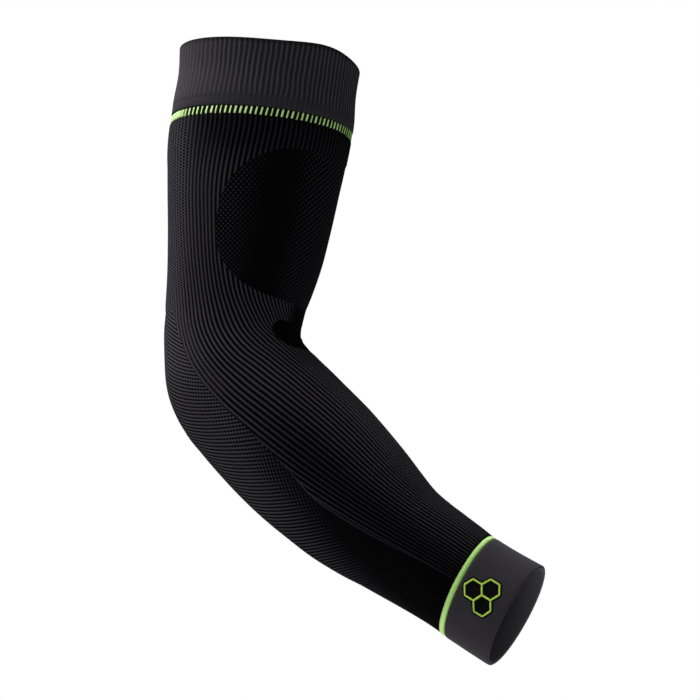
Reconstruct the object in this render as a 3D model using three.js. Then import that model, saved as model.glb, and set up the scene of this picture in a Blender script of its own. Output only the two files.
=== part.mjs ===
// Arm compression sleeve as worn on a slightly bent arm: a seamless knitted tube with a thin ribbed
// cuff above, a smooth cuff at the wrist, a narrow lime band beside each cuff and a stitched emblem.
// Millimetres. The origin is the centre of the upper opening, +Z runs up the upper arm, the elbow
// bends in the XZ plane toward +X, and -Y is the outer side of the arm.
import * as THREE from 'three';

// Widths in the bending plane, measured over the cloth.
const width = { upperArm: 104, elbow: 80, forearm: 84, wrist: 58.5 };

// Lengths along the middle of the arm.
const upperLength = 153;
const forearmLength = 201;

// How far the elbow turns, how much further the forearm curves, and the crease inside the elbow.
const elbowTurn = THREE.MathUtils.degToRad(46.5);
const forearmTurn = THREE.MathUtils.degToRad(22);
const creaseRadius = 3.5;
const elbowRadius = width.elbow / 2 + creaseRadius;
const elbowLength = elbowRadius * elbowTurn;
const sleeveLength = upperLength + elbowLength + forearmLength;

// Cloth thicknesses, the clearance between neighbouring pieces, and how far the cuffs and the wrist
// band stand proud of the knit body.
const knitWall = 1.4;
const bandWall = 1.6;
const cuffWall = 2.2;
const clearance = 0.3;
const cuffProud = 0.3;

const bandProud = 0.1;

// Lengths of the cuffs and of the lime bands.
const upperCuffLength = 38;
const upperBandLength = 4;
const wristCuffLength = 28.8;
const wristBandLength = 3.2;

// Both seams lean: they sit this much further up the arm on the bend's side, and lower behind. The
// lean fades out over a length of the knit body.
const upperSeamLean = 2.2;
const wristSeamLean = 2.4;
const leanFadeLength = 45;

// Ribs of the upper cuff, their height, and the smooth hem that they stop at.
const cuffRibs = 98;
const ribHeight = 0.5;
const hemLength = 3.5;

// Corner rounding of the free rims.
const rimRounding = 0.8;

// Points round each tube and the spacing of its rings.
const pointsRound = 64;
const ringSpacing = 17;
const elbowRings = 6;

// Emblem: three joined hexagons of a raised satin-stitched line.
const hexagonSideLength = 5.4;
const stitchLine = 1.3;
const stitchHeight = 0.6;
const emblemFromRim = 15.6;
const emblemAngle = THREE.MathUtils.degToRad(88);
const stitchSplits = 3;

// Sections down the arm. at: share of the stretch; share: share of the named width; deep and
// lean: depth, and how far the section sits toward the bend, as shares of the section's own width.
const sections = [
  { stretch: 'upper', at: 0.0, of: 'upperArm', share: 0.995, deep: 0.92, lean: 0 },
  { stretch: 'upper', at: 0.1, of: 'upperArm', share: 0.97, deep: 0.92, lean: 0.003 },
  { stretch: 'upper', at: 0.22, of: 'upperArm', share: 0.98, deep: 0.93, lean: 0.004 },
  { stretch: 'upper', at: 0.45, of: 'upperArm', share: 0.94, deep: 0.93, lean: 0.009 },
  { stretch: 'upper', at: 0.7, of: 'upperArm', share: 0.85, deep: 0.93, lean: 0.016 },
  { stretch: 'upper', at: 0.9, of: 'elbow', share: 0.99, deep: 0.95, lean: 0.008 },
  { stretch: 'elbow', at: 0.2, of: 'elbow', share: 0.96, deep: 0.97, lean: 0.012 },
  { stretch: 'elbow', at: 0.7, of: 'elbow', share: 1.01, deep: 0.97, lean: -0.009 },
  { stretch: 'forearm', at: 0.06, of: 'forearm', share: 0.99, deep: 0.95, lean: -0.019 },
  { stretch: 'forearm', at: 0.16, of: 'forearm', share: 1.0, deep: 0.94, lean: -0.01 },
  { stretch: 'forearm', at: 0.32, of: 'forearm', share: 0.975, deep: 0.93, lean: 0 },
  { stretch: 'forearm', at: 0.54, of: 'forearm', share: 0.835, deep: 0.93, lean: -0.003 },
  { stretch: 'forearm', at: 0.74, of: 'wrist', share: 1.025, deep: 0.94, lean: 0 },
  { stretch: 'forearm', at: 0.86, of: 'wrist', share: 0.99, deep: 0.94, lean: 0.005 },
  { stretch: 'forearm', at: 1.0, of: 'wrist', share: 1.0, deep: 0.94, lean: 0 },
];

const stretches = {
  upper: { start: 0, length: upperLength },
  elbow: { start: upperLength, length: elbowLength },
  forearm: { start: upperLength + elbowLength, length: forearmLength },
};

// The sections as distances down the arm with half width, half depth and lean in millimetres.
const knots = sections.map((row) => {
  const stretch = stretches[row.stretch];
  const half = (width[row.of] * row.share) / 2;
  return {
    s: stretch.start + row.at * stretch.length,
    half,
    deep: half * row.deep,
    lean: 2 * half * row.lean,
  };
});

function knotSlope(index, key) {
  const before = knots[Math.max(index - 1, 0)];
  const after = knots[Math.min(index + 1, knots.length - 1)];
  return (after[key] - before[key]) / (after.s - before.s);
}

// Smooth value of one column at distance s, through every row.
function sectionValue(s, key) {
  const last = knots.length - 2;
  const found = knots.findIndex((knot, i) => i <= last && s <= knots[i + 1].s);
  const i = found < 0 ? last : found;
  const span = knots[i + 1].s - knots[i].s;
  const u = THREE.MathUtils.clamp((s - knots[i].s) / span, 0, 1);
  const v = 1 - u;
  const start = knots[i][key] * (1 + 2 * u) * v * v + knotSlope(i, key) * span * u * v * v;
  const end = knots[i + 1][key] * u * u * (3 - 2 * u) - knotSlope(i + 1, key) * span * u * u * v;
  return start + end;
}

// Middle of the arm at distance s: a straight, a tight arc and a shallow arc.
function middle(s) {
  if (s <= upperLength) {
    return { x: 0, z: -s, turn: 0 };
  }
  const inElbow = Math.min((s - upperLength) / elbowRadius, elbowTurn);
  const x = elbowRadius * (1 - Math.cos(inElbow));
  const z = -upperLength - elbowRadius * Math.sin(inElbow);
  if (s <= upperLength + elbowLength) {
    return { x, z, turn: inElbow };
  }
  const radius = forearmLength / forearmTurn;
  const turn = elbowTurn + (s - upperLength - elbowLength) / radius;
  return {
    x: x + radius * (Math.cos(elbowTurn) - Math.cos(turn)),
    z: z - radius * (Math.sin(turn) - Math.sin(elbowTurn)),
    turn,
  };
}

const upperSeam = upperCuffLength;
const wristSeam = sleeveLength - wristCuffLength;

// Lean of the stitch rows at distance s: the whole of it at each seam and none at the rims.
function leanAt(s) {
  const upperReach = s < upperSeam ? upperCuffLength : leanFadeLength;
  const wristReach = s > wristSeam ? wristCuffLength : leanFadeLength;
  const fromUpper = THREE.MathUtils.smoothstep(Math.abs(s - upperSeam) / upperReach, 0, 1);
  const fromWrist = THREE.MathUtils.smoothstep(Math.abs(s - wristSeam) / wristReach, 0, 1);
  return upperSeamLean * (1 - fromUpper) + wristSeamLean * (1 - fromWrist);
}

// Point on the sleeve: angle 0 is inside the bend, a quarter turn is the outer side of the arm.
function clothPoint(s, angle, proud) {
  const leaned = s - leanAt(s) * Math.cos(angle);
  const { x, z, turn } = middle(leaned);
  const across = (sectionValue(leaned, 'half') + proud) * Math.cos(angle) + sectionValue(leaned, 'lean');
  const outward = (sectionValue(leaned, 'deep') + proud) * Math.sin(angle);
  return new THREE.Vector3(x + across * Math.cos(turn), -outward, z + across * Math.sin(turn));
}

function geometryOf(points, faces) {
  const geometry = new THREE.BufferGeometry();
  geometry.setAttribute('position', new THREE.Float32BufferAttribute(points.flatMap((p) => p.toArray()), 3));
  geometry.setIndex(faces);
  geometry.computeVertexNormals();
  return geometry;
}

// Closed tube swept along a loop of profile rows, each { s, proud, relief }, run down the outside
// and back up the inside. relief is the share of the rib height that the row carries.
function tube(profile, around, ribs = 0) {
  const points = profile.flatMap((row) =>
    Array.from({ length: around }, (unused, j) => {
      const rib = ribs ? (j % 2) * ribHeight * row.relief : 0;
      return clothPoint(row.s, (2 * Math.PI * j) / around, row.proud - rib);
    }),
  );
  const faces = [];
  profile.forEach((row, i) => {
    const next = (i + 1) % profile.length;
    for (let j = 0; j < around; j += 1) {
      const k = (j + 1) % around;
      const a = i * around + j;
      const b = i * around + k;
      const c = next * around + k;
      const d = next * around + j;
      faces.push(a, b, d, b, c, d);
    }
  });
  return geometryOf(points, faces);
}

// Ring distances from start to end: even steps, and closer rings round the elbow.
function ringsBetween(start, end) {
  const stops = [start, upperLength, upperLength + elbowLength, end]
    .map((s) => THREE.MathUtils.clamp(s, start, end));
  const rings = [];
  for (let leg = 0; leg < 3; leg += 1) {
    const length = stops[leg + 1] - stops[leg];
    const steps = leg === 1 ? elbowRings : Math.ceil(length / ringSpacing);
    for (let i = 0; i < steps && length > 0; i += 1) {
      rings.push(stops[leg] + (length * i) / steps);
    }
  }
  rings.push(end);
  return rings;
}

// Plain wall between two distances, with square ends.
function plainProfile(start, end, proud, wall) {
  const rings = ringsBetween(start, end);
  return [
    ...rings.map((s) => ({ s, proud, relief: 0 })),
    ...rings.reverse().map((s) => ({ s, proud: proud - wall, relief: 0 })),
  ];
}

function upperCuff() {
  const hemStart = upperSeam - hemLength;
  const outer = [
    { s: 0, proud: cuffProud - rimRounding, relief: 0 },
    { s: rimRounding, proud: cuffProud, relief: 1 },
    { s: hemStart - rimRounding, proud: cuffProud, relief: 1 },
    { s: hemStart, proud: cuffProud, relief: 0 },
    { s: upperSeam, proud: cuffProud - rimRounding / 2, relief: 0 },
  ];
  const inner = [
    { s: upperSeam, proud: cuffProud - cuffWall, relief: 0 },
    { s: 0, proud: cuffProud - cuffWall, relief: 0 },
  ];
  return tube([...outer, ...inner], cuffRibs * 2, cuffRibs);
}

function upperBand() {
  const start = upperSeam + clearance;
  return tube(plainProfile(start, start + upperBandLength, 0, bandWall), cuffRibs);
}

function knitBody() {
  const start = upperSeam + upperBandLength + 2 * clearance;
  const end = wristSeam - wristBandLength - 2 * clearance;
  return tube(plainProfile(start, end, 0, knitWall), pointsRound);
}

function wristBand() {
  const end = wristSeam - clearance;
  return tube(plainProfile(end - wristBandLength, end, bandProud, bandWall), pointsRound);
}

function wristCuff() {
  const rim = sleeveLength;
  const middleOfCuff = (wristSeam + rim) / 2;
  return tube([
    { s: wristSeam, proud: cuffProud - rimRounding / 2 },
    { s: wristSeam + rimRounding, proud: cuffProud },
    { s: middleOfCuff, proud: cuffProud },
    { s: rim - rimRounding, proud: cuffProud },
    { s: rim, proud: cuffProud - rimRounding },
    { s: rim, proud: cuffProud - cuffWall },
    { s: middleOfCuff, proud: cuffProud - cuffWall },
    { s: wristSeam, proud: cuffProud - cuffWall },
  ], pointsRound);
}

// Outline of three hexagons that share one corner, counter-clockwise.
function honeycombOutline() {
  return [90, 210, 330].flatMap((towards) => {
    const centre = polar(hexagonSideLength, towards);
    return [-120, -60, 0, 60].map((turn) => centre.clone().add(polar(hexagonSideLength, towards + turn)));
  });
}

function polar(length, degrees) {
  const angle = THREE.MathUtils.degToRad(degrees);
  return new THREE.Vector2(length * Math.cos(angle), length * Math.sin(angle));
}

// The outline moved outward by a distance, corners kept sharp.
function widened(outline, distance) {
  return outline.map((point, i) => {
    const before = outline[(i + outline.length - 1) % outline.length];
    const after = outline[(i + 1) % outline.length];
    const into = point.clone().sub(before).normalize();
    const out = after.clone().sub(point).normalize();
    const bisector = new THREE.Vector2(into.y + out.y, -into.x - out.x);
    return point.clone().addScaledVector(bisector, distance / (1 + into.dot(out)));
  });
}

// The outline with every side cut into short pieces, so that it follows the curved cuff.
function splitSides(outline) {
  return outline.flatMap((point, i) => {
    const after = outline[(i + 1) % outline.length];
    return Array.from({ length: stitchSplits }, (unused, k) => point.clone().lerp(after, k / stitchSplits));
  });
}

// Emblem's own plane wrapped on the wrist cuff: x runs round the cuff and y runs up the arm.
function onCuff(point, proud) {
  const s = sleeveLength - emblemFromRim - point.y;
  const radius = sectionValue(s, 'half');
  return clothPoint(s, emblemAngle - point.x / radius, proud);
}

function cuffEmblem() {
  const contour = splitSides(widened(honeycombOutline(), stitchLine / 2));
  const inset = hexagonSideLength - stitchLine / 2 / Math.cos(Math.PI / 6);
  const holes = [90, 210, 330].map((towards) => {
    const centre = polar(hexagonSideLength, towards);
    const corners = [0, 1, 2, 3, 4, 5].map((k) => centre.clone().add(polar(inset, towards - 60 * k)));
    return splitSides(corners);
  });
  const flat = [contour, ...holes].flat();
  const caps = THREE.ShapeUtils.triangulateShape(contour, holes);
  const low = cuffProud + clearance;
  const points = [
    ...flat.map((point) => onCuff(point, low + stitchHeight)),
    ...flat.map((point) => onCuff(point, low)),
  ];
  const lower = flat.length;
  const faces = caps.flatMap(([a, b, c]) => [a, b, c, c + lower, b + lower, a + lower]);
  let first = 0;
  for (const loop of [contour, ...holes]) {
    for (let i = 0; i < loop.length; i += 1) {
      const a = first + i;
      const b = first + ((i + 1) % loop.length);
      faces.push(a, a + lower, b, b, a + lower, b + lower);
    }
    first += loop.length;
  }
  return geometryOf(points, faces);
}

function cloth(name, geometry, color, roughness) {
  const material = new THREE.MeshStandardMaterial({ color, roughness, metalness: 0 });
  material.name = name;
  const mesh = new THREE.Mesh(geometry, material);
  mesh.name = name;
  return mesh;
}

const sleeve = new THREE.Group();
sleeve.name = 'arm_compression_sleeve';
sleeve.add(
  cloth('upper_cuff', upperCuff(), 0x343236, 0.85),
  cloth('upper_accent_band', upperBand(), 0x8fcf62, 0.8),
  cloth('knit_body', knitBody(), 0x1b1a1d, 0.9),
  cloth('wrist_accent_band', wristBand(), 0x93d05a, 0.8),
  cloth('wrist_cuff', wristCuff(), 0x333136, 0.8),
  cloth('cuff_emblem', cuffEmblem(), 0xa0cf3c, 0.6),
);

export default sleeve;
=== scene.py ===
"""Arm compression sleeve as worn on a bent arm: zoned seamless knit, ribbed and smooth cuffs, lime bands.

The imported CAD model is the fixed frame. Every knitted piece is modelled here as cloth with real ribs,
and takes a procedural finish whose pattern follows the stitches. Lengths are millimetres until a mesh
is made, and metres in Blender.
"""

from __future__ import annotations

import logging
import math
import sys
from collections.abc import Sequence
from dataclasses import dataclass, field
from enum import Enum

import bpy
import numpy as np
from mathutils import Matrix, Vector


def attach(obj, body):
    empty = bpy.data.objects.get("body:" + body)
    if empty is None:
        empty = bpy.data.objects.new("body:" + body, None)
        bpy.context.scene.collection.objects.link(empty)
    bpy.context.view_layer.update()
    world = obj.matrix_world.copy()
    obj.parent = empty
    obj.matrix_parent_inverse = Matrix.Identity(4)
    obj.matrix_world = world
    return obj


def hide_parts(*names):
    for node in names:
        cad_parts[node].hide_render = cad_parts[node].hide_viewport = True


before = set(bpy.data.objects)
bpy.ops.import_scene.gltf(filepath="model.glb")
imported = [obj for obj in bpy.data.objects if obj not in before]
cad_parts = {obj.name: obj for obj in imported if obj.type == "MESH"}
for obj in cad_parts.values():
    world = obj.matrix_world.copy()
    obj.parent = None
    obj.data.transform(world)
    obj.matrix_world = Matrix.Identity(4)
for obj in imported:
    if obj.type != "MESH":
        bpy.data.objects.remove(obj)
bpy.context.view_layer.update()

MM = 0.001
LOG = logging.getLogger("sleeve")
Socket = bpy.types.NodeSocket


class Stretch(Enum):
    """A stretch of the arm that the sections are placed along."""

    UPPER = "upper"
    ELBOW = "elbow"
    FOREARM = "forearm"


class Wall(Enum):
    """Which face of a knitted tube a ring of points lies on."""

    OUTER = "outer"
    INNER = "inner"


def smooth_through(x: np.ndarray, knots: Sequence[float], values: Sequence[float]) -> np.ndarray:
    """Cubic curve through knots, flat beyond its ends.

    Args:
        x: Places to read the curve at.
        knots: Rising places of the known values.
        values: Known values.

    Returns:
        The curve's values, shaped as x.
    """
    at, value = np.asarray(knots, float), np.asarray(values, float)
    slope = np.gradient(value)
    slope[1:-1] = (value[2:] - value[:-2]) / (at[2:] - at[:-2])
    slope[0] = (value[1] - value[0]) / (at[1] - at[0])
    slope[-1] = (value[-1] - value[-2]) / (at[-1] - at[-2])
    i = np.clip(np.searchsorted(at, x, side="left") - 1, 0, len(at) - 2)
    span = at[i + 1] - at[i]
    u = np.clip((x - at[i]) / span, 0, 1)
    v = 1 - u
    start = value[i] * (1 + 2 * u) * v * v + slope[i] * span * u * v * v
    end = value[i + 1] * u * u * (3 - 2 * u) - slope[i + 1] * span * u * u * v
    return start + end


def ease(x: np.ndarray, low: float, high: float) -> np.ndarray:
    """Smooth step from 0 at low to 1 at high."""
    u = np.clip((np.asarray(x, float) - low) / (high - low), 0, 1)
    return u * u * (3 - 2 * u)


@dataclass(frozen=True)
class Curve:
    """Smooth curve through known values, written as a table from place to value."""

    table: dict[float, float]

    def __call__(self, x: np.ndarray) -> np.ndarray:
        """The curve's values at x."""
        return smooth_through(x, list(self.table), list(self.table.values()))


def direction(azimuth: float, elevation: float) -> Vector:
    """Direction from the sleeve to something round it.

    Args:
        azimuth: Degrees round from the outer side of the arm, toward the bend's side.
        elevation: Degrees up.

    Returns:
        Unit vector.
    """
    a, e = math.radians(azimuth), math.radians(elevation)
    return Vector((math.sin(a) * math.cos(e), -math.cos(a) * math.cos(e), math.sin(e)))


@dataclass(frozen=True)
class Section:
    """Oval section of the worn sleeve.

    Width is a share of a named width; depth and lean are shares of the section's own width.
    """

    stretch: Stretch
    at: float
    of: str
    share: float
    deep: float
    lean: float


SECTIONS = (
    Section(Stretch.UPPER, 0.0, "upper_arm", 0.995, 0.92, 0.0),
    Section(Stretch.UPPER, 0.1, "upper_arm", 0.97, 0.92, 0.003),
    Section(Stretch.UPPER, 0.22, "upper_arm", 0.98, 0.93, 0.004),
    Section(Stretch.UPPER, 0.45, "upper_arm", 0.94, 0.93, 0.009),
    Section(Stretch.UPPER, 0.7, "upper_arm", 0.85, 0.93, 0.016),
    Section(Stretch.UPPER, 0.9, "elbow", 0.99, 0.95, 0.008),
    Section(Stretch.ELBOW, 0.2, "elbow", 0.96, 0.97, 0.012),
    Section(Stretch.ELBOW, 0.7, "elbow", 1.01, 0.97, -0.009),
    Section(Stretch.FOREARM, 0.06, "forearm", 0.99, 0.95, -0.019),
    Section(Stretch.FOREARM, 0.16, "forearm", 1.0, 0.94, -0.01),
    Section(Stretch.FOREARM, 0.32, "forearm", 0.975, 0.93, 0.0),
    Section(Stretch.FOREARM, 0.54, "forearm", 0.835, 0.93, -0.003),
    Section(Stretch.FOREARM, 0.74, "wrist", 1.025, 0.94, 0.0),
    Section(Stretch.FOREARM, 0.86, "wrist", 0.99, 0.94, 0.005),
    Section(Stretch.FOREARM, 1.0, "wrist", 1.0, 0.94, 0.0),
)

# Millimetres that the cloth stands off the CAD form in front and behind, at distances down the arm:
# it bridges over the hollow of the bend, and dips where the forearm narrows.
SLACK_FRONT = Curve({
    0: -0.4, 24: 0.7, 36: 1.0, 60: 0.6, 72: 0.4, 96: 0.9, 120: 1.5, 132: 1.1, 144: -0.5, 156: 0.2,
    180: 0.3, 192: -0.4, 216: -0.2, 252: 0.3, 276: 0.8, 288: 0.6, 300: -0.4, 312: -1.3, 324: -0.6,
    336: 0.3, 348: 0.5, 360: -0.2, 389: 0.0,
})  # fmt: skip
SLACK_BACK = Curve({
    0: -0.6, 24: -0.5, 36: -0.3, 48: 0.6, 60: 0.6, 72: -0.1, 120: -0.8, 156: -0.5, 168: -1.1,
    180: -0.2, 192: 0.3, 204: -0.4, 228: 0.0, 264: 0.5, 282: 1.2, 300: 0.6, 312: -0.3, 348: -0.4,
    360: 0.2, 389: 0.6,
})  # fmt: skip


@dataclass(frozen=True)
class ArmForm:
    """Outer surface of the worn sleeve: the CAD model's, with the cloth's slack.

    A place on it is a distance down the arm and an angle: 0 is inside the bend, a quarter turn the
    outer side of the arm, and half a turn the back. The upper band is a little wider than in the
    CAD model, and the upper rim rises over the front of the outer side; both as on the real one.
    """

    upper_arm: float = 104.0
    elbow: float = 80.0
    forearm: float = 84.0
    wrist: float = 58.5
    upper_length: float = 153.0
    forearm_length: float = 201.0
    elbow_turn: float = math.radians(46.5)
    forearm_turn: float = math.radians(22.0)
    crease_radius: float = 3.5
    upper_cuff: float = 38.0
    upper_band: float = 4.0
    band_wider: float = 0.5
    wrist_cuff: float = 28.8
    wrist_band: float = 3.2
    clearance: float = 0.3
    upper_lean: float = 2.2
    wrist_lean: float = 2.4
    lean_fade: float = 45.0
    rise: float = 3.4
    rise_at: float = 34.0
    rise_spread: float = 27.0

    @property
    def elbow_radius(self) -> float:
        """Radius of the arm's middle line round the elbow."""
        return self.elbow / 2 + self.crease_radius

    @property
    def elbow_length(self) -> float:
        """Length of the middle line round the elbow."""
        return self.elbow_radius * self.elbow_turn

    @property
    def length(self) -> float:
        """Whole length of the sleeve along the arm's middle."""
        return self.upper_length + self.elbow_length + self.forearm_length

    @property
    def wrist_seam(self) -> float:
        """Distance down the arm at which the wrist cuff begins."""
        return self.length - self.wrist_cuff

    @property
    def knit_start(self) -> float:
        """Distance down the arm at which the knit body begins."""
        return self.upper_cuff + self.upper_band + self.band_wider + 2 * self.clearance

    @property
    def knit_end(self) -> float:
        """Distance down the arm at which the knit body ends."""
        return self.wrist_seam - self.wrist_band - 2 * self.clearance

    def column(self, name: str, s: np.ndarray) -> np.ndarray:
        """One measure of the section at each distance.

        Args:
            name: half, deep or lean.
            s: Distances down the arm.

        Returns:
            The measure in millimetres.
        """
        start = {Stretch.UPPER: 0.0, Stretch.ELBOW: self.upper_length}
        start[Stretch.FOREARM] = self.upper_length + self.elbow_length
        span = {Stretch.UPPER: self.upper_length, Stretch.ELBOW: self.elbow_length}
        span[Stretch.FOREARM] = self.forearm_length
        at = [start[row.stretch] + row.at * span[row.stretch] for row in SECTIONS]
        half = [getattr(self, row.of) * row.share / 2 for row in SECTIONS]
        share = {"half": lambda row: 1.0, "deep": lambda row: row.deep, "lean": lambda row: 2 * row.lean}
        return smooth_through(s, at, [h * share[name](row) for h, row in zip(half, SECTIONS)])

    def middle(self, s: np.ndarray) -> tuple[np.ndarray, np.ndarray, np.ndarray]:
        """Middle of the arm: a straight, a tight arc and a shallow arc.

        Args:
            s: Distances down the arm.

        Returns:
            Place across, place up, and how far the arm has turned.
        """
        tight = np.clip((s - self.upper_length) / self.elbow_radius, 0, self.elbow_turn)
        radius = self.forearm_length / self.forearm_turn
        turn = tight + np.maximum(s - self.upper_length - self.elbow_length, 0) / radius
        x = self.elbow_radius * (1 - np.cos(tight)) + radius * (np.cos(tight) - np.cos(turn))
        straight = np.minimum(s, self.upper_length)
        z = -straight - self.elbow_radius * np.sin(tight) - radius * (np.sin(turn) - np.sin(tight))
        return x, z, turn

    def skin_length(self, s: np.ndarray, angle: np.ndarray) -> np.ndarray:
        """Length along the cloth itself, which is longer over the back of the bend than inside it.

        Args:
            s: Distances down the arm's middle.
            angle: Angles round the arm, in radians.

        Returns:
            Distances down the cloth.
        """
        tight = np.clip((s - self.upper_length) / self.elbow_radius, 0, self.elbow_turn)
        slight = np.maximum(s - self.upper_length - self.elbow_length, 0)
        slight = slight * self.forearm_turn / self.forearm_length
        return s - np.cos(angle) * (self.elbow / 2 * tight + 0.42 * self.forearm * slight)

    def lean_at(self, s: np.ndarray) -> np.ndarray:
        """How far the stitch rows lean at each distance: fully at the seams, not at the rims.

        Args:
            s: Distances down the arm.

        Returns:
            Millimetres toward the shoulder on the bend's side.
        """
        upper = np.where(s < self.upper_cuff, self.upper_cuff, self.lean_fade)
        wrist = np.where(s > self.wrist_seam, self.wrist_cuff, self.lean_fade)
        from_upper = 1 - ease(np.abs(s - self.upper_cuff) / upper, 0, 1)
        from_wrist = 1 - ease(np.abs(s - self.wrist_seam) / wrist, 0, 1)
        return self.upper_lean * from_upper + self.wrist_lean * from_wrist

    def rim_rise(self, s: np.ndarray, angle: np.ndarray) -> np.ndarray:
        """How much further up the upper cuff reaches over the front of the outer side."""
        turn = (np.degrees(angle) - self.rise_at + 180) % 360 - 180
        return self.rise * np.exp(-((turn / self.rise_spread) ** 2)) * np.clip(1 - s / self.upper_cuff, 0, 1)

    def slack(self, s: np.ndarray, angle: np.ndarray) -> np.ndarray:
        """How far the cloth stands off the form."""
        across = np.cos(angle)
        return np.maximum(across, 0) ** 2 * SLACK_FRONT(s) + np.maximum(-across, 0) ** 2 * SLACK_BACK(s)

    def point(self, s: np.ndarray, angle: np.ndarray, proud: np.ndarray | float) -> np.ndarray:
        """Points on or near the surface.

        Args:
            s: Distances down the arm.
            angle: Angles round the arm, in radians.
            proud: How far each point stands off the surface.

        Returns:
            Points in millimetres, one row of three for each.
        """
        s, angle = np.broadcast_arrays(np.asarray(s, float), np.asarray(angle, float))
        proud = proud + self.slack(s, angle)
        leaned = s - self.lean_at(s) * np.cos(angle) - self.rim_rise(s, angle)
        x, z, turn = self.middle(leaned)
        across = (self.column("half", leaned) + proud) * np.cos(angle) + self.column("lean", leaned)
        outward = (self.column("deep", leaned) + proud) * np.sin(angle)
        return np.stack([x + across * np.cos(turn), -outward, z + across * np.sin(turn)], -1)


@dataclass(frozen=True)
class RibFlow:
    """Where the ribs run. Ribs are numbered; a guide gives one rib's angle down the arm, in degrees.

    The ribs bow round the upper panel, swing forward across the elbow and then drift on slowly, the
    same on both sides of the arm.
    """

    stations: tuple[float, ...] = (50, 80, 100, 120, 140, 160, 180, 200, 230, 260, 300, 340, 360)
    guides: dict[int, tuple[float, ...]] = field(
        default_factory=lambda: {
            -3: (82, 85, 84, 79, 70, 55, 46, 40, 34, 31, 28, 12, 12),
            0: (92, 95, 94, 90, 81, 68, 58, 51, 46, 42, 38, 24.5, 24),
            4: (105, 108, 106, 102, 95, 85, 74, 67, 61, 57, 52, 42, 42),
            9: (124, 124, 123, 119, 112, 104, 92, 87, 81, 76, 70, 62.5, 62),
            13: (139.8, 138.4, 137, 133, 127, 118, 106, 102, 97, 92, 84, 76.5, 76),
        }
    )
    front_pitch: tuple[float, ...] = (3.28, 3.35, 3.4, 3.5, 3.65, 4.2, 4.05, 3.8, 3.8, 3.7, 3.6, 4.0, 4.2)
    back_pitch: tuple[float, ...] = (3.9, 3.5, 3.3, 3.6, 3.9, 3.6, 3.6, 3.7, 3.7, 3.6, 3.55, 3.5, 3.5)
    columns_per_rib: int = 6
    ribs_past_guides: int = 40
    form: ArmForm = ArmForm()

    def guide(self, rib: int, s: float) -> float:
        """Angle of a guide rib at one distance.

        A guide is a smooth line on the cloth, so its table is read by the length along the cloth,
        which depends on the angle in turn.

        Args:
            rib: Number of a rib that has a table.
            s: Distance down the arm.

        Returns:
            The rib's angle in degrees.
        """
        table = np.array(self.guides[rib], float)
        down = self.form.skin_length(np.array(self.stations, float), np.radians(table))
        angle = np.interp([s], self.stations, table)
        for _ in range(12):
            angle = smooth_through(self.form.skin_length(np.array([s]), np.radians(angle)), down, table)
        return float(angle[0])

    def lines(self, s: float) -> tuple[np.ndarray, np.ndarray]:
        """Rib numbers and their angles at one distance, from well before the front to past the back.

        Args:
            s: Distance down the arm.

        Returns:
            Rib numbers, and their angles in degrees.
        """
        at, past = np.array([s]), self.ribs_past_guides
        numbers = sorted(self.guides)
        angles = [self.guide(n, s) for n in numbers]
        first = angles[0] - past * float(smooth_through(at, self.stations, self.front_pitch)[0])
        last = angles[-1] + past * float(smooth_through(at, self.stations, self.back_pitch)[0])
        ribs = np.array([numbers[0] - past, *numbers, numbers[-1] + past], float)
        return ribs, np.array([first, *angles, last])

    def number(self, s: float, degrees: np.ndarray) -> np.ndarray:
        """Rib number at each angle of one distance."""
        ribs, angles = self.lines(s)
        return np.interp(np.abs(degrees), angles, ribs)

    def columns(self, s: float) -> tuple[np.ndarray, np.ndarray]:
        """Columns of points from the front line to the back line that follow the ribs.

        Args:
            s: Distance down the arm.

        Returns:
            Rib numbers and angles in degrees, the two end lines included.
        """
        ribs, angles = self.lines(s)
        ends = np.interp([0.0, 180.0], angles, ribs)
        step = 1 / self.columns_per_rib
        first = math.ceil((ends[0] + 0.6 * step) / step)
        last = math.floor((ends[1] - 0.6 * step) / step)
        inside = np.arange(first, last + 1)
        number = np.concatenate([[ends[0]], inside * step, [ends[1]]])
        degrees = np.interp(number, ribs, angles)
        degrees[0], degrees[-1] = 0.0, 180.0
        return number, degrees


@dataclass
class Ring:
    """Loop of points round the arm, from the front line over the outer side and the back."""

    s: float
    proud: float
    wall: Wall
    degrees: np.ndarray
    rib: np.ndarray
    key: np.ndarray
    follows_ribs: bool
    relief: float = 0.0

    @property
    def folded(self) -> np.ndarray:
        """Angles from the front line, 0 to 180, the same on both sides of the arm."""
        return 180 - np.abs(180 - self.degrees)

    @property
    def down(self) -> np.ndarray:
        """The ring's distance down the arm, once for each point."""
        return np.full(len(self.degrees), self.s)

    @classmethod
    def along_ribs(cls, flow: RibFlow, s: float, proud: float, wall: Wall, relief: float) -> Ring:
        """Ring whose points keep to the ribs, so that a rib is modelled with clean edges.

        Args:
            flow: Where the ribs run.
            s: Distance down the arm.
            proud: How far the ring stands off the form.
            wall: Face of the tube that it lies on.
            relief: Share of the ribs' full height.

        Returns:
            The ring. Its keys say which columns of two rings belong together.
        """
        rib, degrees = flow.columns(s)
        key = rib.copy()
        key[0], key[-1] = -500, 500
        return cls(
            s,
            proud,
            wall,
            np.concatenate([degrees, 360 - degrees[-2:0:-1]]),
            np.concatenate([rib, rib[-2:0:-1]]),
            np.concatenate([key, 1000 - key[-2:0:-1]]),
            True,
            relief,
        )

    @classmethod
    def even(cls, flow: RibFlow, s: float, proud: float, wall: Wall, count: int) -> Ring:
        """Ring of evenly spaced points, for a wall without ribs.

        Args:
            flow: Where the ribs run.
            s: Distance down the arm.
            proud: How far the ring stands off the form.
            wall: Face of the tube that it lies on.
            count: Number of points.

        Returns:
            The ring.
        """
        degrees = np.arange(count) * 360.0 / count
        folded = 180 - np.abs(180 - degrees)
        return cls(s, proud, wall, degrees, flow.number(s, folded), degrees.copy(), False)


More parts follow.
